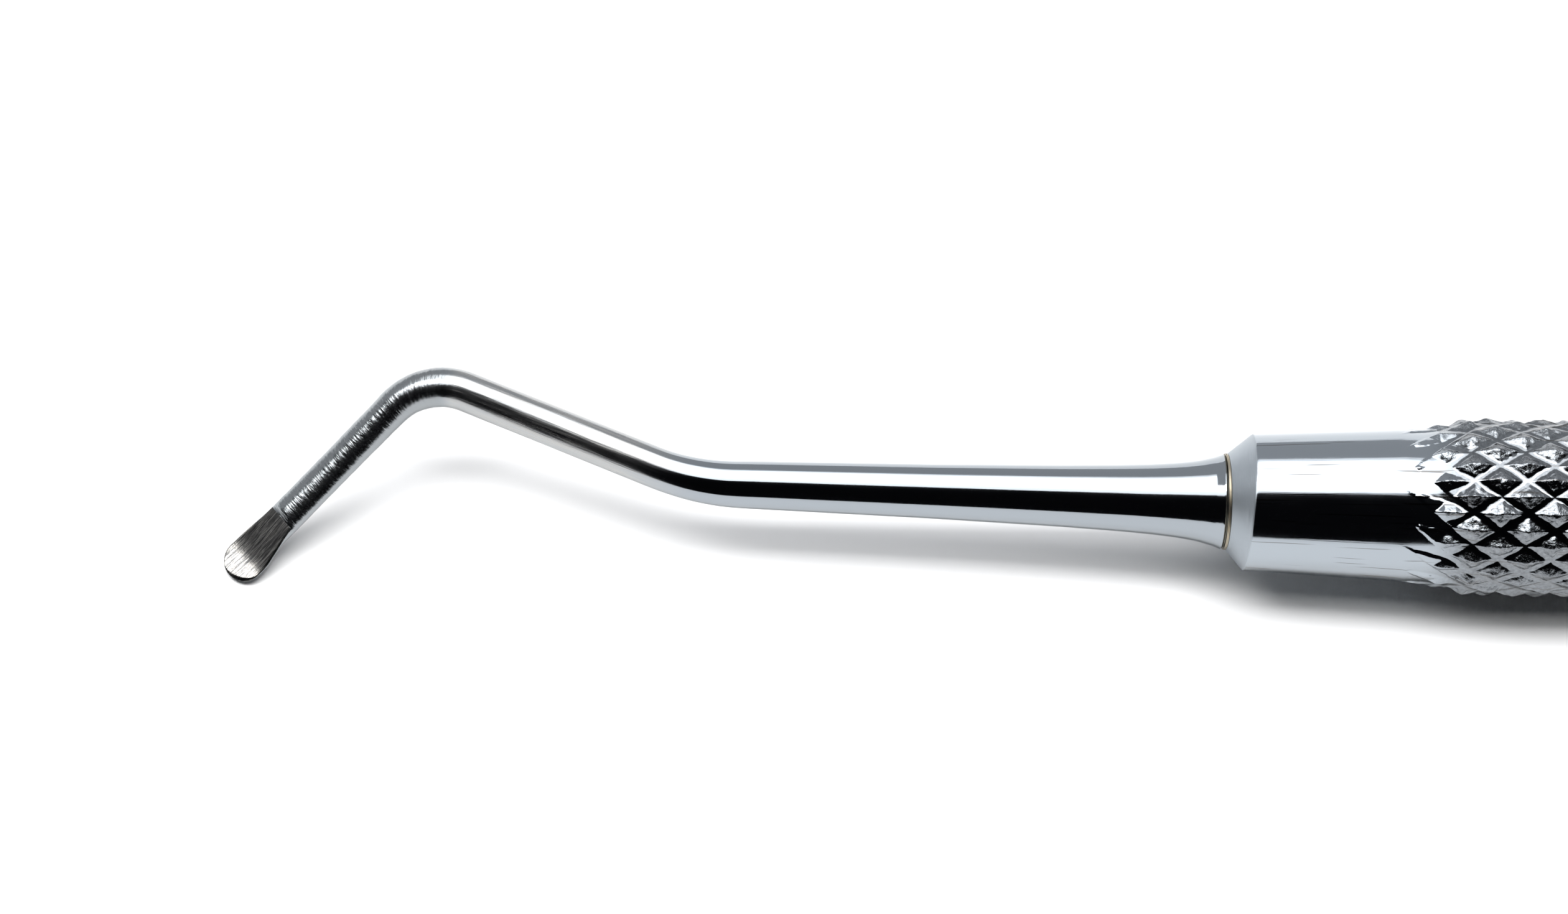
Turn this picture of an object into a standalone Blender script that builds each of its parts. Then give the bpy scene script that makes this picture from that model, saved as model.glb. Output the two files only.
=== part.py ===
"""Double-ended dental hand instrument, lying on its side on a table.

A solid knurled steel handle has a blind bore in each nose. Each working end is one forging (tang, shoulder,
tapered shank with two bends, ground blade) whose tang is brazed into a bore. The two ends are a left and
right pair: the rear one is the front one inverted through the centre of the handle.

Units are metres. +X is the handle's axis, the front working end is at -X, and +Z is up. The origin is on the
table under the middle of the handle.
"""

import math

import bmesh
import bpy
from mathutils import Vector

MM = 0.001
SHARP_ANGLE = math.radians(35)  # edges bent more than this are shaded sharp

# Handle: lengths run inwards from a nose face.
HANDLE_LENGTH = 100.0 * MM
GRIP_RADIUS = 3.2 * MM  # over the knurl's points: quarter-inch bar
AXIS_HEIGHT = GRIP_RADIUS  # the handle lies on the table
NOSE_RADIUS = 1.745 * MM
CHAMFER_LENGTH = 0.75 * MM
CHAMFER_RADIUS = 2.435 * MM
CONE_LENGTH = 5.6 * MM
CONE_RADIUS = 2.68 * MM
SWELL_LENGTH = 8.31 * MM  # where the cone has swelled out to the grip
SWELL_EVEN = 0.25  # share of the swell that rises evenly; the rest steepens along it
SWELL_STEPS = 5
BAND_RADIUS = 3.1 * MM  # smooth band in the middle of the handle
BORE_RADIUS = 1.30 * MM
BORE_DEPTH = 10.3 * MM

# Knurl: diamonds between two families of helical grooves.
KNURL_STARTS = 16
KNURL_PITCH = 1.88 * MM
KNURL_DEPTH = 0.22 * MM
KNURL_ROWS = 36  # half pitches in each of the two grips
AROUND = 2 * KNURL_STARTS

# Braze ring, between the nose face and the shoulder of the working end.
FIT_GAP = 0.03 * MM
BRAZE_THICKNESS = 0.08 * MM
BRAZE_RADIUS = 1.725 * MM

# Working end: lengths run outwards from the nose face along the centreline.
TANG_RADIUS = 1.25 * MM
TANG_LENGTH = 10.0 * MM
TANG_CHAMFER = 0.3 * MM
SHOULDER = BRAZE_THICKNESS + 2 * FIT_GAP
END_SIDES = 20
# The centreline's corners, as (out of the nose, sideways, above the handle's axis), and their bend radii.
MOUTH = (0.0, 0.0, 0.0)
ELBOW = (19.0 * MM, 0.31 * MM, 0.0)
CREST = (28.72 * MM, 3.72 * MM, 1.4 * MM)
TIP = (35.72 * MM, -2.11 * MM, -3.14 * MM)
ELBOW_RADIUS = 9.0 * MM
CREST_RADIUS = 2.5 * MM
# The shank's radius at distances from the nose face: a trumpet at the shoulder, then a long taper.
SHANK_PROFILE = (
    (SHOULDER, 1.70 * MM),
    (0.5 * MM, 1.58 * MM),
    (1.0 * MM, 1.45 * MM),
    (1.6 * MM, 1.355 * MM),
    (2.6 * MM, 1.26 * MM),
    (3.8 * MM, 1.19 * MM),
    (6.0 * MM, 1.10 * MM),
    (10.5 * MM, 0.975 * MM),
    (17.4 * MM, 0.845 * MM),
    (20.0 * MM, 0.74 * MM),
    (29.0 * MM, 0.72 * MM),
    (31.0 * MM, 0.64 * MM),
    (33.5 * MM, 0.625 * MM),
)
BEND_STEPS = 9
# The last straight is drawn flatter and broader, from the crest to a little before the neck.
DRAWN_FLAT = 0.70
DRAWN_BROAD = 1.04
DRAWN_INSET = 1.0 * MM
DRAWN_STEPS = 6

# Blade: lengths run back from the tip, heights are above the centreline along the face's normal.
BLADE_LENGTH = 3.1 * MM
NECK_LENGTH = 2.85 * MM
WIDE_LENGTH = 1.05 * MM
ROUND_LENGTH = 0.744 * MM  # half of the oval that ends the blade
NECK_HALF_WIDTH = 0.60 * MM
WIDE_HALF_WIDTH = 0.83 * MM
NECK_HEIGHT = 0.21 * MM
WIDE_HEIGHT = 0.0 * MM
TIP_HEIGHT = 0.13 * MM
TIP_THICKNESS = 0.15 * MM
WIDE_THICKNESS = 0.47 * MM
BLADE_SHIFT = 0.02 * MM  # the blade flares slightly more on its outer side
# How far the blade has broadened and thinned half way from its neck to its widest place.
HALFWAY_BROADER = 0.55
HALFWAY_THINNER = 0.45
ROUND_STEPS = 6
ROUND_CUT = 0.87  # how much of the quarter oval is drawn, leaving a short straight tip

STEEL = ((0.60, 0.59, 0.57), 0.14)
HANDLE_STEEL = ((0.57, 0.56, 0.55), 0.24)
BRAZE = ((0.72, 0.56, 0.27), 0.35)


def mix(a, b, t):
    return a + (b - a) * t


def interpolate(table, x):
    """Reads a table of (position, value) pairs, straight between its rows and level beyond its ends."""
    if x <= table[0][0]:
        return table[0][1]
    for (x0, y0), (x1, y1) in zip(table, table[1:]):
        if x <= x1:
            return mix(y0, y1, (x - x0) / (x1 - x0))
    return table[-1][1]


def steel_material(name, finish):
    colour, roughness = finish
    material = bpy.data.materials.new(name)
    material.use_nodes = True
    shader = material.node_tree.nodes["Principled BSDF"]
    shader.inputs["Base Color"].default_value = (*colour, 1.0)
    shader.inputs["Metallic"].default_value = 1.0
    shader.inputs["Roughness"].default_value = roughness
    return material


def closed_body(name, rings, material, diagonals=None, loop=False):
    """Skins a run of rings of points into one closed body.

    The ends are capped, or joined to each other if loop is true. diagonals(ring, side) is true where a cell
    is split the other way into its two triangles.
    """
    mesh = bmesh.new()
    verts = [[mesh.verts.new(p) for p in ring] for ring in rings]
    count = len(rings[0])
    pairs = list(zip(verts, verts[1:]))
    if loop:
        pairs.append((verts[-1], verts[0]))
    for row, (near, far) in enumerate(pairs):
        for side in range(count):
            a, b = near[side], near[(side + 1) % count]
            c, d = far[(side + 1) % count], far[side]
            if diagonals is None:
                mesh.faces.new((a, b, c, d))
            elif diagonals(row, side):
                mesh.faces.new((a, b, c))
                mesh.faces.new((a, c, d))
            else:
                mesh.faces.new((a, b, d))
                mesh.faces.new((b, c, d))
    if not loop:
        mesh.faces.new(verts[0])
        mesh.faces.new(list(reversed(verts[-1])))
    bmesh.ops.recalc_face_normals(mesh, faces=mesh.faces)
    data = bpy.data.meshes.new(name)
    mesh.to_mesh(data)
    mesh.free()
    data.shade_smooth()
    data.set_sharp_from_angle(angle=SHARP_ANGLE)
    data.materials.append(material)
    body = bpy.data.objects.new(name, data)
    bpy.context.collection.objects.link(body)
    return body


def handle_ring(x, radius_of_side):
    """A ring of the handle at x, in world coordinates."""
    ring = []
    for side in range(AROUND):
        angle = 2 * math.pi * side / AROUND
        radius = radius_of_side(side)
        ring.append((x, radius * math.cos(angle), AXIS_HEIGHT + radius * math.sin(angle)))
    return ring


def inverted(rings):
    """The same rings inverted through the centre of the handle, which gives the mirrored rear half."""
    return [[(-x, -y, 2 * AXIS_HEIGHT - z) for x, y, z in ring] for ring in rings]


def swell_radius(distance):
    """The radius of the handle's bare nose where it swells from the cone out to the grip."""
    t = (distance - CONE_LENGTH) / (SWELL_LENGTH - CONE_LENGTH)
    return mix(CONE_RADIUS, GRIP_RADIUS, SWELL_EVEN * t + (1 - SWELL_EVEN) * t * t)


def nose_profile():
    """(distance from the nose face, radius) from the bottom of the bore, out of the mouth and up the cone."""
    profile = [
        (BORE_DEPTH, BORE_RADIUS),
        (0.0, BORE_RADIUS),
        (0.0, NOSE_RADIUS),
        (CHAMFER_LENGTH, CHAMFER_RADIUS),
    ]
    for step in range(SWELL_STEPS):
        distance = mix(CONE_LENGTH, SWELL_LENGTH, step / SWELL_STEPS)
        profile.append((distance, swell_radius(distance)))
    return profile


def make_handle(material):
    """The solid bar: bored noses, two knurled grips and a smooth band between them."""
    front = -HANDLE_LENGTH / 2
    rings = []
    for distance, radius in nose_profile():
        rings.append(handle_ring(front + distance, lambda side, r=radius: r))
    first_knurl_ring = len(rings)
    half_pitch = KNURL_PITCH / 2
    for row in range(KNURL_ROWS + 1):

        def knurled(side, row=row):
            return GRIP_RADIUS - (KNURL_DEPTH if (side + row) % 2 else 0.0)

        rings.append(handle_ring(front + SWELL_LENGTH + row * half_pitch, knurled))
    grip_end = front + SWELL_LENGTH + KNURL_ROWS * half_pitch
    rings.append(handle_ring(grip_end + half_pitch / 2, lambda side: BAND_RADIUS))
    # The rear half is the front half inverted through the middle of the handle.
    half_turn = AROUND // 2
    rear = [ring[half_turn:] + ring[:half_turn] for ring in inverted(reversed(rings))]
    total = 2 * len(rings)

    def along_groove(row, side):
        """The knurl's cells are split along the grooves, so that each diamond is a pyramid."""
        if row < len(rings):
            return (row - first_knurl_ring + side) % 2 == 1
        mirrored = total - 2 - row
        return (mirrored - first_knurl_ring + side + half_turn) % 2 == 0

    return closed_body("handle_bar", rings + rear, material, along_groove)


class Centreline:
    """Straight runs joined by arcs, read by the distance along it."""

    def __init__(self, corners, radii):
        corners = [Vector(c) for c in corners]
        self.runs = []
        start, length = corners[0], 0.0
        for before, corner, after, radius in zip(corners, corners[1:], corners[2:], radii):
            arriving, leaving = (corner - before).normalized(), (after - corner).normalized()
            bend = arriving.angle(leaving)
            tangent_length = radius * math.tan(bend / 2)
            stop = corner - arriving * tangent_length
            length = self.add(length, (stop - start).length, start, arriving, None, 0.0)
            inward = (leaving - arriving * arriving.dot(leaving)).normalized()
            length = self.add(length, radius * bend, stop, arriving, inward, radius)
            start = corner + leaving * tangent_length
        last = (corners[-1] - start).normalized()
        self.length = self.add(length, (corners[-1] - start).length, start, last, None, 0.0)

    def add(self, at, length, start, direction, inward, radius):
        self.runs.append((at, length, start, direction, inward, radius))
        return at + length

    def bends(self):
        """(start, length) of each arc."""
        return [(at, length) for at, length, _, _, _, radius in self.runs if radius]

    def read(self, distance):
        """The point and the direction at a distance, straight on before the start and after the end."""
        at, _, start, direction, inward, radius = next(
            (run for run in self.runs if distance <= run[0] + run[1]), self.runs[-1]
        )
        along = distance - at
        if not radius:
            return start + direction * along, direction
        turn = along / radius
        point = start + (direction * math.sin(turn) + inward * (1 - math.cos(turn))) * radius
        return point, direction * math.cos(turn) + inward * math.sin(turn)


def round_section(radius):
    """END_SIDES points (across, up) of a round section, starting at the outer side and going below."""
    turns = [-2 * math.pi * k / END_SIDES for k in range(END_SIDES)]
    return [(radius * math.cos(t), radius * math.sin(t)) for t in turns]


def drawn_span(line):
    """Where the drawing down of the last straight starts and ends."""
    crest, _ = line.bends()[-1]
    return crest + DRAWN_INSET, line.length - NECK_LENGTH - DRAWN_INSET


def shank_section(line, distance):
    """The shank's section, round until it is drawn flatter towards the blade."""
    start, end = drawn_span(line)
    t = min(max((distance - start) / (end - start), 0.0), 1.0)
    t = t * t * (3 - 2 * t)
    broad, flat = mix(1.0, DRAWN_BROAD, t), mix(1.0, DRAWN_FLAT, t)
    radius = interpolate(SHANK_PROFILE, distance)
    return [(broad * across, flat * up) for across, up in round_section(radius)]


def blade_section(half_width, height, thickness, shift):
    """A flat face above a rounded back, with the same points as round_section."""
    points = []
    for k in range(END_SIDES):
        turn = -2 * math.pi * k / END_SIDES
        across = shift + half_width * math.cos(turn)
        points.append((across, height + thickness * min(0.0, math.sin(turn))))
    return points


def shank_stations(line):
    """Distances along the shank, from the shoulder to the start of the blade."""
    stations = {distance for distance, _ in SHANK_PROFILE}
    for start, length in line.bends():
        stations |= {start + length * step / BEND_STEPS for step in range(BEND_STEPS + 1)}
    bend_end = sum(line.bends()[-1])
    drawn_end = drawn_span(line)[1]
    stations |= {mix(bend_end, drawn_end, step / DRAWN_STEPS) for step in range(1, DRAWN_STEPS + 1)}
    stations.add(line.length - BLADE_LENGTH)
    return sorted(stations)


def blade_stations(line):
    """(distance, section) pairs from the neck of the blade to its tip."""
    neck_thickness = DRAWN_FLAT * SHANK_PROFILE[-1][1] + NECK_HEIGHT
    middle = (
        (NECK_LENGTH + WIDE_LENGTH) / 2,
        mix(NECK_HALF_WIDTH, WIDE_HALF_WIDTH, HALFWAY_BROADER),
        (NECK_HEIGHT + WIDE_HEIGHT) / 2,
        mix(neck_thickness, WIDE_THICKNESS, HALFWAY_THINNER),
        BLADE_SHIFT / 2,
    )
    stations = [
        (NECK_LENGTH, NECK_HALF_WIDTH, NECK_HEIGHT, neck_thickness, 0.0),
        middle,
        (WIDE_LENGTH, WIDE_HALF_WIDTH, WIDE_HEIGHT, WIDE_THICKNESS, BLADE_SHIFT),
    ]
    for step in range(ROUND_STEPS + 1):
        turn = math.pi / 2 * (1 - ROUND_CUT * step / ROUND_STEPS)
        back = ROUND_LENGTH * (1 - math.cos(turn))
        t = 1 - back / WIDE_LENGTH
        height = mix(WIDE_HEIGHT, TIP_HEIGHT, t)
        thickness = mix(WIDE_THICKNESS, TIP_THICKNESS, t)
        stations.append((back, WIDE_HALF_WIDTH * math.sin(turn), height, thickness, BLADE_SHIFT))
    return [(line.length - back, blade_section(*section)) for back, *section in stations]


def end_rings():
    """The front working end's rings of points, in world coordinates."""
    line = Centreline((MOUTH, ELBOW, CREST, TIP), (ELBOW_RADIUS, CREST_RADIUS))
    sections = [
        (-TANG_LENGTH, round_section(TANG_RADIUS - TANG_CHAMFER)),
        (-TANG_LENGTH + TANG_CHAMFER, round_section(TANG_RADIUS)),
        (SHOULDER, round_section(TANG_RADIUS)),
    ]
    for distance in shank_stations(line):
        sections.append((distance, shank_section(line, distance)))
    sections += blade_stations(line)
    rings = []
    for distance, section in sections:
        point, direction = line.read(distance)
        if distance <= SHOULDER:
            point, direction = Vector((distance, 0.0, 0.0)), Vector((1.0, 0.0, 0.0))
        point = Vector((-HANDLE_LENGTH / 2 - point.x, point.y, AXIS_HEIGHT + point.z))
        direction = Vector((-direction.x, direction.y, direction.z))
        across = Vector((0.0, 0.0, 1.0)).cross(direction).normalized()
        up = direction.cross(across)
        rings.append([tuple(point + across * a + up * u) for a, u in section])
    return rings


def make_braze_ring(name, side, material):
    """A thin ring of filler metal; side is -1 at the front nose and 1 at the rear one."""
    inner = FIT_GAP
    outer = FIT_GAP + BRAZE_THICKNESS
    corners = ((inner, BORE_RADIUS), (inner, BRAZE_RADIUS), (outer, BRAZE_RADIUS), (outer, BORE_RADIUS))
    rings = []
    for distance, radius in corners:
        rings.append(handle_ring(side * (HANDLE_LENGTH / 2 + distance), lambda _, r=radius: r))
    return closed_body(name, rings, material, loop=True)


def main():
    for old in list(bpy.data.objects):
        bpy.data.objects.remove(old)
    steel = steel_material("polished_steel", STEEL)
    grip = steel_material("grip_steel", HANDLE_STEEL)
    braze = steel_material("braze", BRAZE)
    make_handle(grip)
    front = end_rings()
    closed_body("front_working_end", front, steel)
    closed_body("rear_working_end", inverted(front), steel)
    make_braze_ring("front_braze_ring", -1, braze)
    make_braze_ring("rear_braze_ring", 1, braze)


main()
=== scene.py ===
"""The looks of a double-ended dental hand instrument: polished, knurled and ground stainless steel.

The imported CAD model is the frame. Every visible piece is a fine mesh that replaces a CAD node and rides on
the only body, root. Lengths below are in millimetres until mesh_object turns them into metres.
"""
import math

import bpy
import numpy as np
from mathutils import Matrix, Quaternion, Vector, noise


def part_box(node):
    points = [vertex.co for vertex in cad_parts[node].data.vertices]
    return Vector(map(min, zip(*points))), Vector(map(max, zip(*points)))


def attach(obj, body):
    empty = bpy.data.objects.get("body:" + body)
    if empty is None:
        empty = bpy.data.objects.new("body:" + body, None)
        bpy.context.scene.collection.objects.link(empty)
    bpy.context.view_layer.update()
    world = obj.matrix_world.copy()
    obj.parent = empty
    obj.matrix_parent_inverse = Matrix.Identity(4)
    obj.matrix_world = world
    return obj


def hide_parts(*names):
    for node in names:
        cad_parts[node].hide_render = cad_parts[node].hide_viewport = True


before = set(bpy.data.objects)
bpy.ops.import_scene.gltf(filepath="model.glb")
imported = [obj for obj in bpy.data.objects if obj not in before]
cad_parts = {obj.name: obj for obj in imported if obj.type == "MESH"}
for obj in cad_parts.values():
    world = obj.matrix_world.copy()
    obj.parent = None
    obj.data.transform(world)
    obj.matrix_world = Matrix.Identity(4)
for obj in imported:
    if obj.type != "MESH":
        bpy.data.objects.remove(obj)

MM = 0.001
SHARP_ANGLE = math.radians(50)  # edges bent more than this are shaded sharp
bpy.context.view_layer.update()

# ---------------------------------------------------------------- driving dimensions, from the frame
bar_low, bar_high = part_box("handle_bar")
HALF_HANDLE = bar_high.x / MM
GRIP = (bar_high.z - bar_low.z) / 2 / MM
AXIS = (bar_high.z + bar_low.z) / 2 / MM

# Handle: distances run inwards from the nose face.
NOSE_RADIUS = 1.745
CHAMFER_LENGTH = 0.755
CHAMFER_UNEVEN = 0.135  # the chamfer was ground by hand, wider on one side
CHAMFER_WIDE_SIDE = math.radians(30)
CHAMFER_RADIUS = 2.435
CONE_END = 5.6
CONE_RADIUS = 2.68
SWELL_END = 8.5
SWELL_EVEN = 0.25  # share of the swell that rises evenly; the rest steepens along it
BAND_RADIUS = 3.1
BORE_RADIUS = 1.30
BORE_DEPTH = 10.3
BORE_EDGE, MOUTH_EDGE = 0.05, 0.03  # broken edges
LATHE_MARKS = 0.003  # depth of the turning marks on the chamfer

# Knurl
STARTS = 16
PITCH = 1.88
KNURL_DEPTH = 0.22
KNURL_FIRST = 8.31  # a ring of groove crossings
KNURL_LEAD = 4  # half pitches of run-out in front of it
KNURL_ROWS = 36  # half pitches of full knurl
FINE_ROWS = 4  # half pitches modelled with the nose, where the knurl runs out
KNURL_LAST = KNURL_FIRST + KNURL_ROWS * PITCH / 2
RUN_OUT = 6.0  # where the grooves fade into the cone, more or less
GROOVE_FADE = 2.3  # length over which each groove reaches its full depth
GROOVE_ROUND = 0.3  # rounded part of each side of a groove, as a share of the way to the crest
GROOVE_SWAY, GROOVE_RAGGED = 0.012, 0.035  # how far grooves stray, in groove spacings
TOP_START, TOP_HEIGHT = 0.86, 0.93  # the crests are rounded off between these shares of the walls' height
CRUSH = 0.075  # how far the crests were pushed in, at most
FINE, COARSE = 16, 8  # mesh cells along each half pitch

# Braze: a bead between the nose face and the shoulder.
BRAZE_RADIUS, BRAZE_DEPTH, BRAZE_UNEVEN = 1.708, 0.016, 0.006
BRAZE_PLACE, BRAZE_WIDTH = -0.055, 0.09  # its middle, in front of the nose face, and its width

# Working end: distances run outwards from the nose face along the centreline.
TANG_RADIUS = 1.25
TANG_LENGTH = 10.0
SHOULDER = 0.11
CORNERS = ((0.0, 0.0, 0.0), (19.0, 0.31, 0.0), (28.72, 3.72, 1.4), (35.72, -2.11, -3.14))
BEND_RADII = (9.0, 2.5)
SHANK = (  # distance and radius: a small bead at the shoulder, a trumpet flare, then a long taper
    (0.11, 1.64), (0.19, 1.70), (0.32, 1.645), (0.5, 1.58), (1.0, 1.45), (1.6, 1.355), (2.6, 1.26),
    (3.8, 1.19), (6.0, 1.10), (10.5, 0.975), (17.4, 0.845), (20.0, 0.74), (29.0, 0.72), (31.0, 0.64),
    (33.5, 0.625),
)
POLISH_RIPPLE, COARSE_RIPPLE, FINE_RIPPLE = 0.008, 0.006, 0.005  # depths of the hand work
SIDES = 96
FACE_SIDES = 40  # of those, across the ground face

# Blade: distances run back from the tip.
FACE_START = 2.885
FACE_SLANT = 0.01
NECK = 2.85
NECK_FLAT, NECK_BROAD = 0.70, 1.04  # the round shank is drawn flatter and broader towards the blade
DRAWN_INSET = 1.0  # the drawing down starts and ends this far inside the last straight
NECK_ROLL, NECK_ROLL_LENGTH = 0.10, 0.32  # its top is rolled down this much where the face begins
NECK_BLEND = 1.4  # length over which the blade's section becomes the shank's
EDGE_ROUND = 0.03  # how far the face's edges are softened down
WHEEL_SCRATCH = 0.004  # depth of the face's lengthways scratches
WIDE = 1.05
END_OVAL = 0.744
NECK_HALF = 0.60
WIDE_HALF = 0.83
NECK_HEIGHT = 0.21
WIDE_HEIGHT = 0.0
TIP_HEIGHT = 0.13
TIP_THICKNESS = 0.15
TIP_BEVEL, TIP_BEVEL_WIDTH = 0.45, 0.14  # slope and width of the facet along the cutting edge
TIP_BEVEL_TURN = math.radians(32)  # it is widest a little to one side of the tip
WIDE_THICKNESS = 0.47
TIP_SQUARE = 0.55  # the power that squares up the back's curve at the tip


def mix(a, b, t):
    return a + (b - a) * t


def smooth(a, b, x):
    t = np.clip((x - a) / (b - a), 0.0, 1.0)
    return t * t * (3 - 2 * t)


def grain(points, scale, seed=0.0):
    """Smooth noise between -1 and 1 at an array of points. scale is one number or one for each axis."""
    flat = (np.asarray(points) * scale + seed).reshape(-1, 3)
    values = [noise.noise(p) for p in flat.tolist()]
    return np.array(values).reshape(np.asarray(points).shape[:-1])


# ---------------------------------------------------------------- meshes
def mesh_object(name, rings, material, slot, node, flip=False, split=None, marks=None):
    """One closed body from rings of points (rows, sides, 3), capped at both ends.

    split(row, side) is true where a cell is cut from its first corner to its opposite one, and marks holds
    point attributes for the material: name to an array of numbers or of vectors.
    """
    rows, sides, _ = rings.shape
    index = np.arange(rows * sides).reshape(rows, sides)
    a, d = index[:-1], index[1:]
    b, c = np.roll(a, -1, axis=1), np.roll(d, -1, axis=1)
    if split is None:
        faces = np.stack((a, b, c, d), axis=-1).reshape(-1, 4).tolist()
    else:
        rising = split(*np.indices(a.shape))[..., None]
        one = np.where(rising, np.stack((a, b, c), axis=-1), np.stack((a, b, d), axis=-1))
        two = np.where(rising, np.stack((a, c, d), axis=-1), np.stack((b, c, d), axis=-1))
        faces = np.concatenate((one, two)).reshape(-1, 3).tolist()
    faces.append(index[0, ::-1].tolist())
    faces.append(index[-1].tolist())
    if flip:
        faces = [face[::-1] for face in faces]
    mesh = bpy.data.meshes.new(name)
    mesh.from_pydata((rings.reshape(-1, 3) * MM).tolist(), [], faces)
    mesh.shade_smooth()
    mesh.set_sharp_from_angle(angle=SHARP_ANGLE)
    for key, values in (marks or {}).items():
        vector = values.ndim == 3
        layer = mesh.attributes.new(key, "FLOAT_VECTOR" if vector else "FLOAT", "POINT")
        layer.data.foreach_set("vector" if vector else "value", values.astype(np.float32).ravel())
    mesh.materials.append(material)
    piece = bpy.data.objects.new(name, mesh)
    bpy.context.collection.objects.link(piece)
    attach(piece, "root")
    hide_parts(node)
    return piece


def inverted(rings):
    """The opposite end's points: inverted through the middle of the handle."""
    return np.array((0.0, 0.0, 2 * AXIS)) - rings


def pair(front_name, rear_name, front_node, rear_node, rings, flip, **rest):
    """The same piece at both ends of the instrument."""
    mesh_object(front_name, rings, node=front_node, flip=flip, **rest)
    mesh_object(rear_name, inverted(rings), node=rear_node, flip=not flip, **rest)


# ---------------------------------------------------------------- handle
def turned(distance, radius, angle):
    """Points of the handle at a distance from the front nose face."""
    x = np.broadcast_to(distance - HALF_HANDLE, radius.shape)
    return np.stack((x, radius * np.cos(angle), AXIS + radius * np.sin(angle)), axis=-1)


def envelope(distance):
    """The turned surface that the knurl was rolled into."""
    up_cone = (distance - CHAMFER_LENGTH) / (CONE_END - CHAMFER_LENGTH)
    cone = mix(CHAMFER_RADIUS, CONE_RADIUS, up_cone)
    t = np.clip((distance - CONE_END) / (SWELL_END - CONE_END), 0.0, 1.0)
    swell = mix(CONE_RADIUS, GRIP, SWELL_EVEN * t + (1 - SWELL_EVEN) * t * t)
    band = mix(GRIP, BAND_RADIUS, smooth(KNURL_LAST - 0.9, KNURL_LAST + 0.9, distance))
    return np.where(distance < CONE_END, cone, np.minimum(swell, band))


def knurl(distance, angle):
    """Depth below the turned surface, and how far up its diamond each point is from 0 to 1."""
    around = angle * STARTS / (2 * math.pi) + 0.5
    along = (distance - KNURL_FIRST) / PITCH
    walls, depths = [], []
    for lean in (1, -1):
        sway = GROOVE_SWAY * np.sin(5 * distance + 7 * angle + lean)
        ragged = GROOVE_RAGGED * grain(turned_space(distance, angle), 4.0, 2.0 * lean)
        phase = around + lean * along + sway + ragged
        groove = np.round(phase)
        # Each groove runs out at its own place.
        first = RUN_OUT + 0.4 * np.sin(groove * 12.9 + lean * 4.0)
        fading = 1 - smooth(KNURL_LAST - 1.2, KNURL_LAST + 0.3, distance)
        depths.append(smooth(first, first + GROOVE_FADE, distance) * fading)
        reach = np.abs(phase - groove) * 2
        wall = np.where(reach < GROOVE_ROUND, reach ** 2 / (2 * GROOVE_ROUND), reach - GROOVE_ROUND / 2)
        walls.append(wall / (1 - GROOVE_ROUND / 2))
    # A wall beside a shallow groove starts part of the way up.
    walls = [np.maximum(wall, 1 - depth) for wall, depth in zip(walls, depths)]
    rise = np.minimum(*walls)
    rounding = (1 - (rise - TOP_START) / (1 - TOP_START)) ** 2
    rise = np.where(rise < TOP_START, rise, TOP_HEIGHT - (TOP_HEIGHT - TOP_START) * rounding)
    cut = np.maximum(*depths) > 0.02
    return KNURL_DEPTH * np.clip(TOP_HEIGHT - rise, 0.0, 1.0) / TOP_HEIGHT, rise * cut


def grip_points(first_row, last_row, cells):
    """Knurled rings between two rows of half pitches, with cells mesh cells along each.

    Returns distance, angle and radius, how far up its diamond each point is, and how far it was worked.
    """
    steps = (last_row - first_row) * cells
    distance = KNURL_FIRST + (first_row + np.arange(steps + 1) / cells) * PITCH / 2
    angle = 2 * math.pi * np.arange(2 * STARTS * cells) / (2 * STARTS * cells)
    distance, angle = np.meshgrid(distance, angle, indexing="ij")
    depth, rise = knurl(distance, angle)
    surface = envelope(distance)
    base = turned(distance, surface, angle)
    # Rolling crushed the crests and tore their flanks.
    worked = smooth(RUN_OUT + 0.7, RUN_OUT + 2.4, distance)
    worked = worked * (1 - smooth(KNURL_LAST - 1.0, KNURL_LAST, distance))
    pits = 0.6 * grain(base, 2.2, 11.0) + 0.4 * grain(base, 5.0, 5.0)
    crush = CRUSH * worked * smooth(0.0, 0.5, rise) * np.clip(0.3 + pits, 0.0, 1.0)
    radius = surface - np.minimum(depth + crush, KNURL_DEPTH)
    return distance, angle, radius, rise * worked, worked


def along_grooves(first_row, cells):
    """Cells are split along the groove that crosses them."""

    def split(row, side):
        return (row // cells + first_row + side // cells) % 2 == 1

    return split


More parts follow.
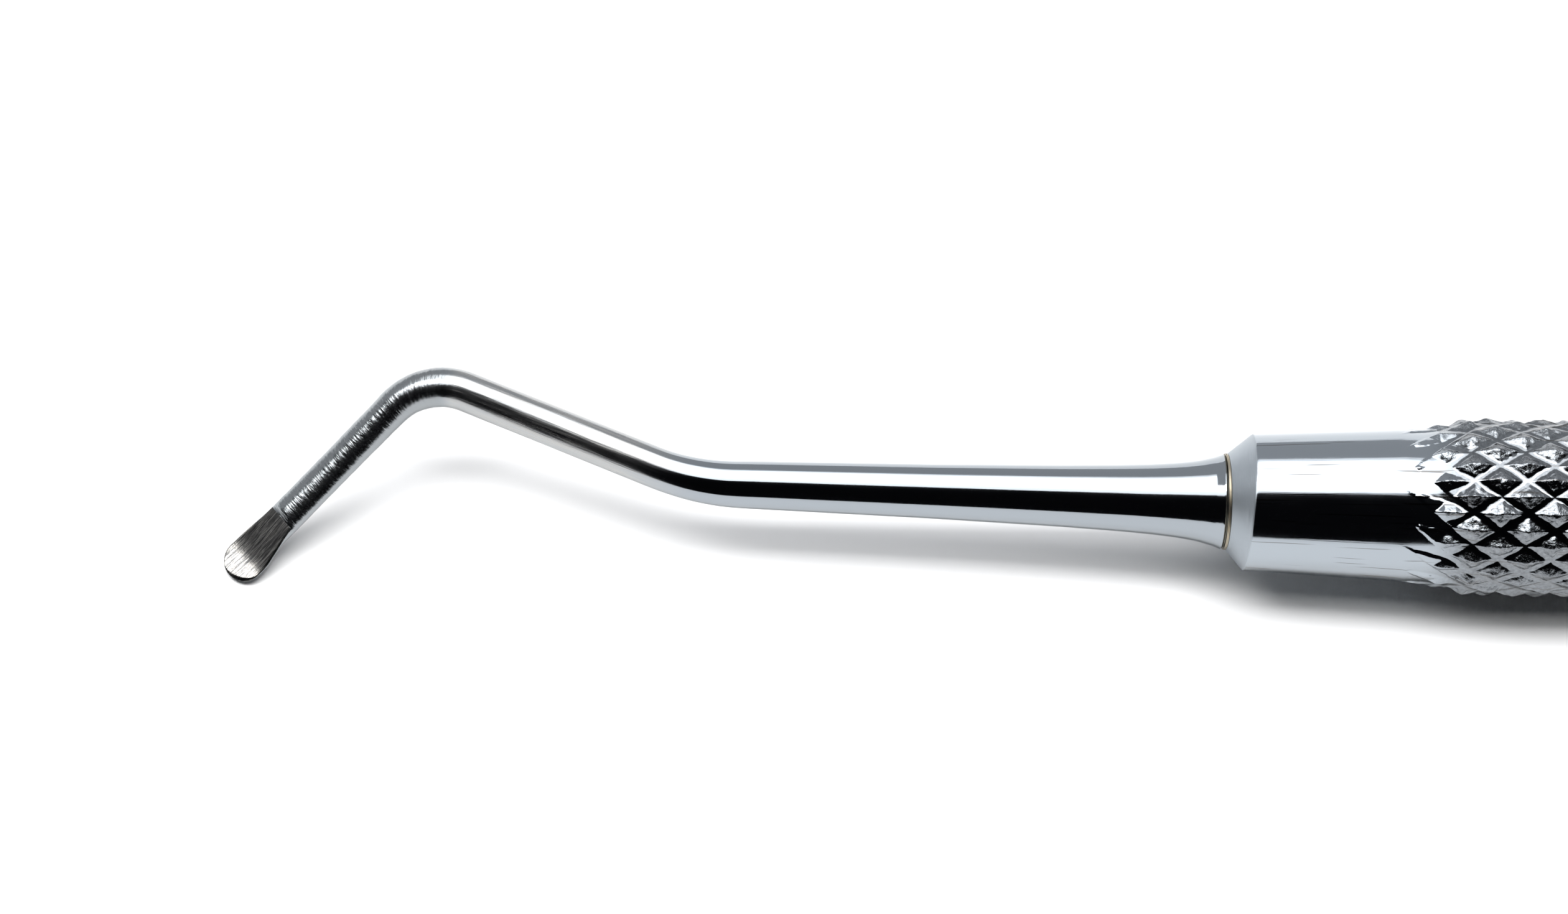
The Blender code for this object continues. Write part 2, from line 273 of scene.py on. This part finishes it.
def nose_points(angle):
    """Rings from the bottom of the bore, out of the mouth, over the chamfer and up to the knurl."""
    wide = CHAMFER_LENGTH + CHAMFER_UNEVEN * np.cos(angle - CHAMFER_WIDE_SIDE)
    edge_radius = envelope(wide)
    rings = []

    def ring(distance, radius):
        distance = np.broadcast_to(distance, angle.shape)
        radius = np.broadcast_to(radius, angle.shape)
        rings.append((distance, radius))

    ring(BORE_DEPTH, BORE_RADIUS)
    ring(BORE_EDGE, BORE_RADIUS)
    ring(0.0, BORE_RADIUS + BORE_EDGE)
    for t in (0.0, 0.5, 1.0):
        ring(MOUTH_EDGE * t, NOSE_RADIUS - MOUTH_EDGE + MOUTH_EDGE * t)
    for t in np.linspace(0.06, 0.97, 14):
        ring(mix(MOUTH_EDGE, wide, t), mix(NOSE_RADIUS, edge_radius, t))
    # The chamfer's outer edge is rounded off over a short way.
    for t in (0.015, 0.04, 0.08, 0.2):
        ring(wide + t, envelope(wide + t) - 0.006 * (0.08 - min(t, 0.08)) / 0.08)
    knurl_start = KNURL_FIRST - KNURL_LEAD * PITCH / 2
    for t in np.linspace(0.0, 1.0, 19)[1:-1]:
        ring(mix(wide + 0.2, knurl_start, t), envelope(mix(wide + 0.2, knurl_start, t)))
    distance = np.array([d for d, _ in rings])
    return distance, np.array([r for _, r in rings])


def make_handle(materials):
    sides = 2 * STARTS * FINE
    angle = 2 * math.pi * np.arange(sides) / sides
    distance, radius = nose_points(angle)
    angles = np.broadcast_to(angle, distance.shape)
    knurl_distance, knurl_angle, knurl_radius, rise, worked = grip_points(-KNURL_LEAD, FINE_ROWS, FINE)
    rows = len(distance)
    distance = np.concatenate((distance, knurl_distance))
    angles = np.concatenate((angles, knurl_angle))
    radius = np.concatenate((radius, knurl_radius))
    rise, worked = (np.concatenate((np.zeros((rows, sides)), values)) for values in (rise, worked))
    wide = CHAMFER_LENGTH + CHAMFER_UNEVEN * np.cos(angles - CHAMFER_WIDE_SIDE)
    chamfer = (1 - smooth(-0.01, 0.02, distance - wide)) * (radius > NOSE_RADIUS - 0.04)
    lathe = grain(np.stack((distance * 18, np.cos(angles) * 0.6, np.sin(angles) * 0.6), axis=-1), 1.0)
    radius = radius + chamfer * LATHE_MARKS * lathe
    groove_split = along_grooves(-KNURL_LEAD, FINE)

    def split(row, side):
        return np.where(row < rows, False, groove_split(np.maximum(row - rows, 0), side))

    nose = turned(distance, radius, angles)
    pair(
        "handle_nose_front", "handle_nose_rear", "handle_bar", "handle_bar", nose, False,
        material=materials["grip"], slot="grip_steel", split=split,
        marks={
            "rise": rise, "worked": worked, "chamfer": chamfer, "turned": turned_space(distance, angles),
        },
    )
    distance, angles, radius, rise, worked = grip_points(FINE_ROWS, KNURL_ROWS, COARSE)
    grip = turned(distance, radius, angles)
    pair(
        "handle_grip_front", "handle_grip_rear", "handle_bar", "handle_bar", grip, False,
        material=materials["grip"], slot="grip_steel", split=along_grooves(FINE_ROWS, COARSE),
        marks={"rise": rise, "worked": worked, "turned": turned_space(distance, angles)},
    )
    make_band(materials)


def turned_space(distance, angle):
    """Coordinates that follow a turned surface: round it in two axes, and along it in the third."""
    return np.stack((3 * np.cos(angle), 3 * np.sin(angle), distance), axis=-1)


def make_band(materials):
    """The smooth middle of the handle, between the two grips."""
    sides = 2 * STARTS * COARSE
    distance = np.linspace(KNURL_LAST, HALF_HANDLE, 25)
    distance = np.concatenate((distance, 2 * HALF_HANDLE - distance[-2::-1]))
    angle = 2 * math.pi * np.arange(sides) / sides
    distance, angle = np.meshgrid(distance, angle, indexing="ij")
    nearer = np.minimum(distance, 2 * HALF_HANDLE - distance)
    depth, _ = knurl(nearer, angle)
    radius = envelope(nearer) - depth
    mesh_object(
        "handle_band", turned(distance, radius, angle), materials["grip"], "grip_steel", "handle_bar",
        marks={"turned": turned_space(distance, angle)},
    )


# ---------------------------------------------------------------- working ends
class Centreline:
    """Straight runs joined by arcs, read by the distance along it."""

    def __init__(self, corners, radii):
        corners = [Vector(c) for c in corners]
        self.runs, start, self.length = [], corners[0], 0.0
        for before, corner, after, radius in zip(corners, corners[1:], corners[2:], radii):
            arriving, leaving = (corner - before).normalized(), (after - corner).normalized()
            bend = arriving.angle(leaving)
            cut = radius * math.tan(bend / 2)
            stop = corner - arriving * cut
            self.add((stop - start).length, start, arriving, None, 0.0)
            inward = (leaving - arriving * arriving.dot(leaving)).normalized()
            self.add(radius * bend, stop, arriving, inward, radius)
            start = corner + leaving * cut
        self.add((corners[-1] - start).length, start, (corners[-1] - start).normalized(), None, 0.0)

    def add(self, length, start, direction, inward, radius):
        self.runs.append((self.length, length, start, direction, inward, radius))
        self.length += length

    def read(self, distance):
        at, _, start, direction, inward, radius = next(
            (run for run in self.runs if distance <= run[0] + run[1]), self.runs[-1]
        )
        along = distance - at
        if not radius:
            return start + direction * along, direction
        turn = along / radius
        point = start + (direction * math.sin(turn) + inward * (1 - math.cos(turn))) * radius
        return point, direction * math.cos(turn) + inward * math.sin(turn)


LINE = Centreline(CORNERS, BEND_RADII)
ELBOW, CREST = LINE.runs[1][0], LINE.runs[3][0]  # where the two bends start


def shank_radius(distance):
    """The tapered shank, rounded between the rows of its table."""
    places, radii = zip(*SHANK)
    window = np.linspace(-0.35, 0.35, 9) * smooth(0.2, 2.0, distance)
    return float(np.mean(np.interp(distance + window, places, radii)))


def face_height(back):
    """Height of the ground face above the centreline: two facets, blended where the wheel turned."""
    window = np.linspace(-0.3, 0.3, 7)
    places, heights = (0.0, WIDE, NECK), (TIP_HEIGHT, WIDE_HEIGHT, NECK_HEIGHT)
    slope = (TIP_HEIGHT - WIDE_HEIGHT) / WIDE
    readings = np.interp(back + window, places, heights) + np.maximum(-(back + window), 0.0) * slope
    return float(np.mean(readings))


def tip_bevel(across, back):
    """How far the small facet along the cutting edge falls below the face."""
    if back > END_OVAL:
        return 0 * across
    side, end = across / WIDE_HALF, 1 - back / END_OVAL
    reach = np.hypot(side, end)
    facing = np.clip(np.cos(np.arctan2(side, end) - TIP_BEVEL_TURN), 0.0, 1.0) ** 2.5
    inside = (1 - reach) * mix(END_OVAL, WIDE_HALF, side ** 2)
    return TIP_BEVEL * np.maximum(TIP_BEVEL_WIDTH * facing - inside, 0.0)


def blade_section(back):
    """The blade's section, a distance back from the tip: a ground face above a rounded back."""
    root = NECK_FLAT * SHANK[-1][1]
    t = np.clip((NECK - back) / (NECK - WIDE), 0.0, 1.0)
    half = mix(NECK_HALF, WIDE_HALF, smooth(0.0, 1.0, t) * 0.6 + t * 0.4)
    shift = 0.02 * t
    height = face_height(back)
    thickness = mix(root + NECK_HEIGHT, WIDE_THICKNESS, t)
    if back < WIDE:
        thickness = mix(WIDE_THICKNESS, TIP_THICKNESS, 1 - back / WIDE)
    if back < END_OVAL:
        half = WIDE_HALF * math.sqrt(max(1 - (1 - back / END_OVAL) ** 2, 0.0))
    boxy = mix(1.0, TIP_SQUARE, smooth(WIDE * 1.6, 0.0, back))
    below = SIDES - FACE_SIDES
    turn = np.pi * np.arange(below) / below
    across = half * np.cos(turn)
    down = height - thickness * np.sin(turn) ** boxy
    face_across = -half * np.cos(np.pi * np.arange(FACE_SIDES) / FACE_SIDES)
    # The wheel's lengthways scratches, and a softened edge.
    place = np.stack((9.0 * face_across, 0 * face_across, np.full(FACE_SIDES, 0.7 * back)), axis=-1)
    scratches = grain(place, 1.0)
    edge = EDGE_ROUND * np.clip((np.abs(face_across) / max(half, 0.02) - 0.9) / 0.1, 0.0, 1.0) ** 2
    face_up = height + WHEEL_SCRATCH * scratches - edge - tip_bevel(face_across, back)
    down[0] = down[0] - EDGE_ROUND
    rounded = smooth(NECK - NECK_BLEND, NECK, back)
    round_across, round_down = round_section(SHANK[-1][1], neck_edge())
    across = mix(across, NECK_BROAD * round_across[:below], rounded)
    down = mix(down, NECK_FLAT * round_down[:below], rounded)
    return np.concatenate((across, face_across)) + shift, np.concatenate((down, face_up))


def neck_edge():
    """Where the face meets the drawn shank at the neck, as an angle round it."""
    return math.asin(NECK_HEIGHT / NECK_FLAT / SHANK[-1][1])


def round_section(radius, edge):
    """A round section whose points gather like the blade's: edge is the angle of the face's edge."""
    below = SIDES - FACE_SIDES
    turn = edge - (np.pi + 2 * edge) * np.arange(below) / below
    lap = np.pi - edge - (np.pi - 2 * edge) * np.arange(FACE_SIDES) / FACE_SIDES
    turn = np.concatenate((turn, lap))
    return radius * np.cos(turn), radius * np.sin(turn)


def end_stations():
    """Distances along the working end, closer together where its surface is worked finer."""
    tip = LINE.length
    runs = (
        np.linspace(SHOULDER, 0.6, 14),
        np.linspace(0.6, 4.0, 34),
        np.linspace(4.0, ELBOW, 60),
        np.linspace(ELBOW, CREST, 110),
        np.linspace(CREST, tip - FACE_START - 0.3, 290),
        np.linspace(tip - FACE_START - 0.3, tip - NECK, 45),
        np.linspace(tip - NECK, tip - END_OVAL, 110),
    )
    turn = np.linspace(np.pi / 2, 0.12, 40)
    oval = tip - END_OVAL * (1 - np.cos(turn))
    return np.unique(np.concatenate(runs + (oval,)).round(6))


def hand_work(distance, across, up):
    """Ripples left on the shank by hand: lengthways polish before the crest, cross grinding beyond it."""
    along = np.full(SIDES, distance)
    polish = grain(np.stack((2.6 * across, 2.6 * up, 0.30 * along), axis=-1), 1.0, 3.0)
    coarse = grain(np.stack((0.9 * across, 0.9 * up, 3.4 * along), axis=-1), 1.0, 7.0)
    fine = grain(np.stack((1.6 * across, 1.6 * up, 7.5 * along), axis=-1), 1.0, 9.0)
    started = float(smooth(17.5, 20.5, distance))
    ground = float(smooth(CREST + 0.3, CREST + 1.0, distance))
    cross = COARSE_RIPPLE * coarse + FINE_RIPPLE * fine
    return started * (1 - ground) * POLISH_RIPPLE * polish + ground * cross


def end_rings():
    """The front working end's rings, with straightened coordinates and where they are ground flat."""
    edge = neck_edge()
    rings, straight, face = [], [], []
    tip = LINE.length
    root = NECK_FLAT * SHANK[-1][1]

    def add(distance, across, up, ground):
        point, direction = LINE.read(distance)
        if distance <= SHOULDER:
            point, direction = Vector((distance, 0, 0)), Vector((1, 0, 0))
        centre = np.array((-HALF_HANDLE - point.x, point.y, AXIS + point.z))
        direction = Vector((-direction.x, direction.y, direction.z))
        side = Vector((0, 0, 1)).cross(direction).normalized()
        upward = direction.cross(side)
        rings.append(centre + np.outer(across, side) + np.outer(up, upward))
        straight.append(np.stack((across, up, np.full(SIDES, distance)), axis=-1))
        face.append(ground)

    none = np.zeros(SIDES)
    for distance, radius in (
        (-TANG_LENGTH, TANG_RADIUS - 0.3), (-TANG_LENGTH + 0.3, TANG_RADIUS), (SHOULDER, TANG_RADIUS),
    ):
        add(distance, *round_section(radius, edge), none)
    for distance in end_stations():
        back = tip - distance
        if back > NECK:
            radius = shank_radius(distance)
            across, up = round_section(1.0, edge)
            radius = radius + hand_work(distance, across, up)
            across, up = radius * across, radius * up
            drawn = smooth(CREST + DRAWN_INSET, tip - NECK - DRAWN_INSET, distance)
            across, up = across * mix(1.0, NECK_BROAD, drawn), up * mix(1.0, NECK_FLAT, drawn)
            rolled = NECK_ROLL * smooth(NECK + NECK_ROLL_LENGTH, NECK, back)
            up = up - rolled * np.clip(up / root, 0.0, 1.0) ** 2
            ground = none.copy()
            if back < FACE_START + FACE_SLANT:
                # The face runs up into the round shank, a little farther on one side.
                start = FACE_START + FACE_SLANT * across / NECK_HALF
                t = np.clip((start - back) / (start - NECK), 0.0, 1.0)
                plane = mix(root - NECK_ROLL, NECK_HEIGHT, smooth(0.0, 1.0, t))
                on_face = np.arange(SIDES) >= SIDES - FACE_SIDES
                ground = smooth(0.2, 0.8, t) * (on_face & (up > plane))
                up = np.where(on_face, np.minimum(up, plane), up)
        else:
            across, up = blade_section(back)
            ground = (np.arange(SIDES) >= SIDES - FACE_SIDES).astype(float)
        add(distance, across, up, ground)
    return np.array(rings), np.array(straight), np.array(face)


def make_working_ends(materials):
    rings, straight, face = end_rings()
    pair(
        "front_end", "rear_end", "front_working_end", "rear_working_end", rings, True,
        material=materials["shank"], slot="polished_steel",
        marks={"straight": straight, "face": face},
    )


# ---------------------------------------------------------------- braze
def make_braze(materials):
    """The thin, slightly uneven line of filler at each seam."""
    sides, profile = 160, 10
    angle = 2 * math.pi * np.arange(sides) / sides
    rings = []
    for turn in np.linspace(0.0, 2 * math.pi, profile, endpoint=False):
        depth = BRAZE_DEPTH + BRAZE_UNEVEN * np.sin(angle * 3 + 1)
        radius = BRAZE_RADIUS + depth * math.cos(turn)
        distance = BRAZE_PLACE + BRAZE_WIDTH / 2 * math.sin(turn)
        rings.append(turned(np.full(sides, distance), radius, angle))
    pair(
        "braze_front", "braze_rear", "front_braze_ring", "rear_braze_ring", np.array(rings), False,
        material=materials["braze"], slot="braze",
    )


# ---------------------------------------------------------------- materials
STEEL = (0.315, 0.345, 0.375)
SHANK_STEEL = (0.28, 0.305, 0.33)
DULL_STEEL = (0.25, 0.265, 0.275)
# Painted shade: the knurl's colour is a little darker than the bar's, and near black where the pit noise is
# high, standing for the shade in its grooves and crushed crests.
SHADED_KNURL_STEEL = (0.29, 0.31, 0.33)
KNURL_PAINTED_SHADE = (0.07, 0.074, 0.08)
SCORE = (0.13, 0.13, 0.13)
WARM_STEEL = (0.43, 0.415, 0.39)
BRAZE = (0.36, 0.34, 0.29)
YELLOW_BRAZE = (0.37, 0.31, 0.21)


class Shader:
    """A Principled material, with short calls for the nodes that feed it."""

    def __init__(self, name, colour, roughness):
        self.material = bpy.data.materials.new(name)
        self.material.use_nodes = True
        self.tree = self.material.node_tree
        self.bsdf = self.tree.nodes["Principled BSDF"]
        self.bsdf.inputs["Base Color"].default_value = (*colour, 1.0)
        self.bsdf.inputs["Metallic"].default_value = 1.0
        self.bsdf.inputs["Roughness"].default_value = roughness

    def link(self, source, target):
        if isinstance(source, bpy.types.NodeSocket):
            self.tree.links.new(source, target)
        else:
            target.default_value = source

    def mark(self, key, vector=False):
        """A point attribute of the mesh."""
        node = self.tree.nodes.new("ShaderNodeAttribute")
        node.attribute_name = key
        return node.outputs["Vector" if vector else "Fac"]

    def math(self, operation, first, second=0.0, third=0.0):
        node = self.tree.nodes.new("ShaderNodeMath")
        node.operation = operation
        for socket, value in zip(node.inputs, (first, second, third)):
            self.link(value, socket)
        return node.outputs[0]

    def step(self, value, low, high):
        """0 below low, 1 above high, smooth between."""
        node = self.tree.nodes.new("ShaderNodeMapRange")
        node.interpolation_type = "SMOOTHSTEP"
        self.link(value, node.inputs["Value"])
        node.inputs["From Min"].default_value = low
        node.inputs["From Max"].default_value = high
        return node.outputs[0]

    def mix(self, factor, first, second):
        node = self.tree.nodes.new("ShaderNodeMix")
        node.data_type = "FLOAT"
        for key, value in (("Factor", factor), ("A", first), ("B", second)):
            self.link(value, node.inputs[key])
        return node.outputs[0]

    def mix_colour(self, factor, first, second):
        node = self.tree.nodes.new("ShaderNodeMix")
        node.data_type = "RGBA"
        self.link(factor, node.inputs[0])
        for index, value in ((6, first), (7, second)):
            fixed = not isinstance(value, bpy.types.NodeSocket)
            self.link((*value, 1.0) if fixed else value, node.inputs[index])
        return node.outputs[2]

    def noise(self, place, stretch, detail=2.0, roughness=0.5):
        """Noise with its own scale along each axis of place, in features per millimetre."""
        scale = self.tree.nodes.new("ShaderNodeVectorMath")
        scale.operation = "MULTIPLY"
        self.link(place, scale.inputs[0])
        scale.inputs[1].default_value = stretch
        node = self.tree.nodes.new("ShaderNodeTexNoise")
        node.inputs["Scale"].default_value = 1.0
        node.inputs["Detail"].default_value = detail
        node.inputs["Roughness"].default_value = roughness
        self.link(scale.outputs[0], node.inputs["Vector"])
        return node.outputs["Fac"]

    def bump(self, height, strength):
        """Relief in millimetres: height times strength."""
        node = self.tree.nodes.new("ShaderNodeBump")
        node.inputs["Distance"].default_value = MM
        self.link(self.math("MULTIPLY", height, strength), node.inputs["Height"])
        self.link(node.outputs["Normal"], self.bsdf.inputs["Normal"])

    def finish(self, colour=None, roughness=None):
        if colour is not None:
            self.link(colour, self.bsdf.inputs["Base Color"])
        if roughness is not None:
            self.link(roughness, self.bsdf.inputs["Roughness"])
        return self.material


def grip_material():
    """Polished bar, a dull ground chamfer, and a knurl with bright grooves and crushed diamonds, its colour
    darkened with painted shade.
    """
    shader = Shader("knurled_steel", STEEL, 0.1)
    place = shader.mark("turned", vector=True)
    chamfer = shader.mark("chamfer")
    crushed = shader.step(shader.mark("rise"), 0.05, 0.4)
    pits = shader.noise(place, (8, 8, 8), 4.0, 0.6)
    lathe = shader.noise(place, (1.2, 1.2, 46), 2.0)
    haze = shader.noise(place, (1.1, 1.1, 0.5), 2.0)
    scratches = shader.noise(place, (18, 18, 0.35), 2.0)
    scores = shader.step(shader.noise(place, (9, 9, 0.22), 1.0), 0.665, 0.69)
    roughness = shader.mix(chamfer, shader.mix(haze, 0.05, 0.12), 0.42)
    roughness = shader.mix(crushed, roughness, shader.mix(pits, 0.05, 0.20))
    relief = shader.math("MULTIPLY", crushed, shader.math("MULTIPLY", pits, 0.035))
    relief = shader.math("MULTIPLY_ADD", shader.math("MULTIPLY", chamfer, lathe), 0.006, relief)
    relief = shader.math("MULTIPLY_ADD", scratches, 0.0014, relief)
    shader.bump(relief, 1.0)
    # Painted shade: over the worked knurl the colour runs from a darker steel to near black with the pit
    # noise.
    knurl_painted_shade_colour = shader.mix_colour(pits, SHADED_KNURL_STEEL, KNURL_PAINTED_SHADE)
    colour = shader.mix_colour(shader.mark("worked"), STEEL, knurl_painted_shade_colour)
    scores = shader.math("MULTIPLY", scores, shader.math("SUBTRACT", 1.0, chamfer))
    colour = shader.mix_colour(scores, colour, SCORE)
    return shader.finish(colour, roughness)


def shank_material():
    """Polished shank, cross ground beyond the crest, with a lengthways ground blade face."""
    shader = Shader("shank_steel", SHANK_STEEL, 0.09)
    place = shader.mark("straight", vector=True)
    axes = shader.tree.nodes.new("ShaderNodeSeparateXYZ")
    shader.link(place, axes.inputs[0])
    distance = axes.outputs["Z"]
    face = shader.mark("face")
    ground = shader.step(distance, CREST + 0.3, CREST + 1.1)
    not_ground = shader.math("SUBTRACT", 1.0, ground)
    worked = shader.math("MULTIPLY", shader.step(distance, 18.5, 22.0), not_ground)
    streaks = shader.noise(place, (14, 14, 0.6), 3.0)
    cross = shader.noise(place, (2.6, 2.6, 13), 3.0, 0.62)
    fan = shader.noise(place, (34, 4, 1.6), 3.0, 0.6)
    lines = shader.step(shader.noise(place, (16, 1, 0.9), 3.0), 0.36, 0.60)
    fine = shader.noise(place, (1.4, 1.4, 0.35), 2.0)
    roughness = shader.mix(fine, 0.05, 0.12)
    roughness = shader.mix(worked, roughness, shader.mix(streaks, 0.08, 0.40))
    roughness = shader.mix(ground, roughness, shader.mix(cross, 0.10, 0.30))
    roughness = shader.mix(face, roughness, shader.mix(fan, 0.10, 0.22))
    relief = shader.math("MULTIPLY", shader.math("MULTIPLY_ADD", worked, 0.005, 0.0005), streaks)
    relief = shader.mix(ground, relief, shader.math("MULTIPLY", cross, 0.019))
    relief = shader.mix(face, relief, shader.math("MULTIPLY", fan, 0.012))
    shader.bump(relief, 1.0)
    colour = shader.mix_colour(worked, SHANK_STEEL, shader.mix_colour(streaks, SHANK_STEEL, WARM_STEEL))
    colour = shader.mix_colour(ground, colour, DULL_STEEL)
    colour = shader.mix_colour(face, colour, shader.mix_colour(lines, SCORE, WARM_STEEL))
    return shader.finish(colour, roughness)


def braze_material():
    """Dull, straw coloured filler."""
    shader = Shader("braze_metal", BRAZE, 0.35)
    place = shader.tree.nodes.new("ShaderNodeTexCoord").outputs["Object"]
    per_metre = 3 / MM
    mottle = shader.noise(place, (per_metre, per_metre, per_metre), 3.0)
    shader.bump(mottle, 0.01)
    return shader.finish(shader.mix_colour(mottle, BRAZE, YELLOW_BRAZE), shader.mix(mottle, 0.25, 0.5))


def make_materials():
    return {"grip": grip_material(), "shank": shank_material(), "braze": braze_material()}


# ---------------------------------------------------------------- stage, light and camera
VIEW_OUT = 15.8  # the picture's middle, out from the nose face
VIEW_TARGET = Vector((-HALF_HANDLE - VIEW_OUT, 0.0, AXIS))
VIEW_RAISE = 1.262  # how far the picture's middle lies above the handle's axis in it
VIEW_ELEVATION = math.radians(60)
VIEW_ROLL = math.radians(1.2)
VIEW_DISTANCE = 132.0
PANEL_HEIGHT = 500.0
FLOOR_REACH = 4.0  # metres
GLOW_START, GLOW_FULL = 0.12, 0.60  # metres from the middle of the table
DARK_ROOM, DARK_UP_TO = (0.004, 0.004, 0.005, 1), 0.46  # shares of the way from front to back
GREY_ROOM, GREY_FROM = (0.645, 0.66, 0.685, 1), 0.60


def make_stage():
    mesh = bpy.data.meshes.new("floor")
    corners = [(x * FLOOR_REACH, y * FLOOR_REACH, 0) for x, y in ((-1, -1), (1, -1), (1, 1), (-1, 1))]
    mesh.from_pydata(corners, [], [(0, 1, 2, 3)])
    floor = bpy.data.objects.new("floor", mesh)
    bpy.context.collection.objects.link(floor)
    table = Shader("white_table", (0.92, 0.92, 0.92), 0.8)
    table.bsdf.inputs["Metallic"].default_value = 0.0
    table.bsdf.inputs["Specular IOR Level"].default_value = 0.0
    # The table stays as pale far from the panels as under them.
    away = table.tree.nodes.new("ShaderNodeVectorMath")
    away.operation = "LENGTH"
    table.link(table.tree.nodes.new("ShaderNodeTexCoord").outputs["Object"], away.inputs[0])
    table.bsdf.inputs["Emission Color"].default_value = (1, 1, 1, 1)
    glow = table.step(away.outputs["Value"], GLOW_START, GLOW_FULL)
    table.link(glow, table.bsdf.inputs["Emission Strength"])
    mesh.materials.append(table.material)


def make_softbox(name, left, right, front, rear, radiance):
    """A panel of even light above the instrument, its edges given as shares of its height."""
    lamp = bpy.data.lights.new(name, "AREA")
    lamp.shape = "RECTANGLE"
    lamp.size = (right - left) * PANEL_HEIGHT * MM
    lamp.size_y = (rear - front) * PANEL_HEIGHT * MM
    lamp.energy = radiance * math.pi * lamp.size * lamp.size_y
    middle = Vector(((left + right) / 2, (front + rear) / 2, 1.0)) * PANEL_HEIGHT
    softbox = bpy.data.objects.new(name, lamp)
    softbox.location = (Vector((VIEW_TARGET.x, 0.0, AXIS)) + middle) * MM
    softbox.visible_camera = False
    bpy.context.collection.objects.link(softbox)


def make_light():
    make_softbox("apron", -0.85, 0.50, -0.225, -0.03, 3.2)
    make_softbox("key", -0.90, 0.50, -0.03, 0.28, 10.5)
    make_softbox("fill", -0.50, 0.50, 0.28, 0.93, 3.1)
    make_softbox("spill", -0.50, 0.50, 0.93, 1.09, 1.5)


def make_world():
    """A dim room: dark in front, grey behind, and pale where the camera looks past the table."""
    world = bpy.data.worlds.new("room")
    bpy.context.scene.world = world
    world.use_nodes = True
    tree = world.node_tree
    nodes, links = tree.nodes, tree.links
    nodes.clear()
    coordinate = nodes.new("ShaderNodeTexCoord")
    axes = nodes.new("ShaderNodeSeparateXYZ")
    links.new(coordinate.outputs["Generated"], axes.inputs[0])
    ramp = nodes.new("ShaderNodeValToRGB")
    dark, grey = ramp.color_ramp.elements
    dark.position, dark.color = DARK_UP_TO, DARK_ROOM
    grey.position, grey.color = GREY_FROM, GREY_ROOM
    shift = nodes.new("ShaderNodeMath")
    shift.operation = "MULTIPLY_ADD"
    shift.inputs[1].default_value = 0.5
    shift.inputs[2].default_value = 0.5
    links.new(axes.outputs["Y"], shift.inputs[0])
    links.new(shift.outputs[0], ramp.inputs[0])
    path = nodes.new("ShaderNodeLightPath")
    choose = nodes.new("ShaderNodeMix")
    choose.data_type = "RGBA"
    links.new(path.outputs["Is Camera Ray"], choose.inputs["Factor"])
    links.new(ramp.outputs["Color"], choose.inputs["A"])
    choose.inputs["B"].default_value = (1, 1, 1, 1)
    background = nodes.new("ShaderNodeBackground")
    links.new(choose.outputs["Result"], background.inputs["Color"])
    output = nodes.new("ShaderNodeOutputWorld")
    links.new(background.outputs[0], output.inputs["Surface"])


def make_camera():
    camera = bpy.data.cameras.new("camera")
    camera.lens = 85
    camera.sensor_width = 36
    camera.clip_start, camera.clip_end = 0.005, 10.0
    eye = bpy.data.objects.new("camera", camera)
    towards = Vector((0, -math.cos(VIEW_ELEVATION), math.sin(VIEW_ELEVATION)))
    upward = Vector((0, math.sin(VIEW_ELEVATION), math.cos(VIEW_ELEVATION)))
    target = VIEW_TARGET + upward * VIEW_RAISE
    eye.location = (target + towards * VIEW_DISTANCE) * MM
    eye.rotation_mode = "QUATERNION"
    facing = (-towards).to_track_quat("-Z", "Y")
    eye.rotation_quaternion = facing @ Quaternion((0, 0, 1), VIEW_ROLL)
    bpy.context.collection.objects.link(eye)
    bpy.context.scene.camera = eye


def main():
    bpy.context.scene.view_settings.view_transform = "Standard"
    make_camera()
    materials = make_materials()
    make_handle(materials)
    make_working_ends(materials)
    make_braze(materials)
    make_stage()
    make_light()
    make_world()


main()
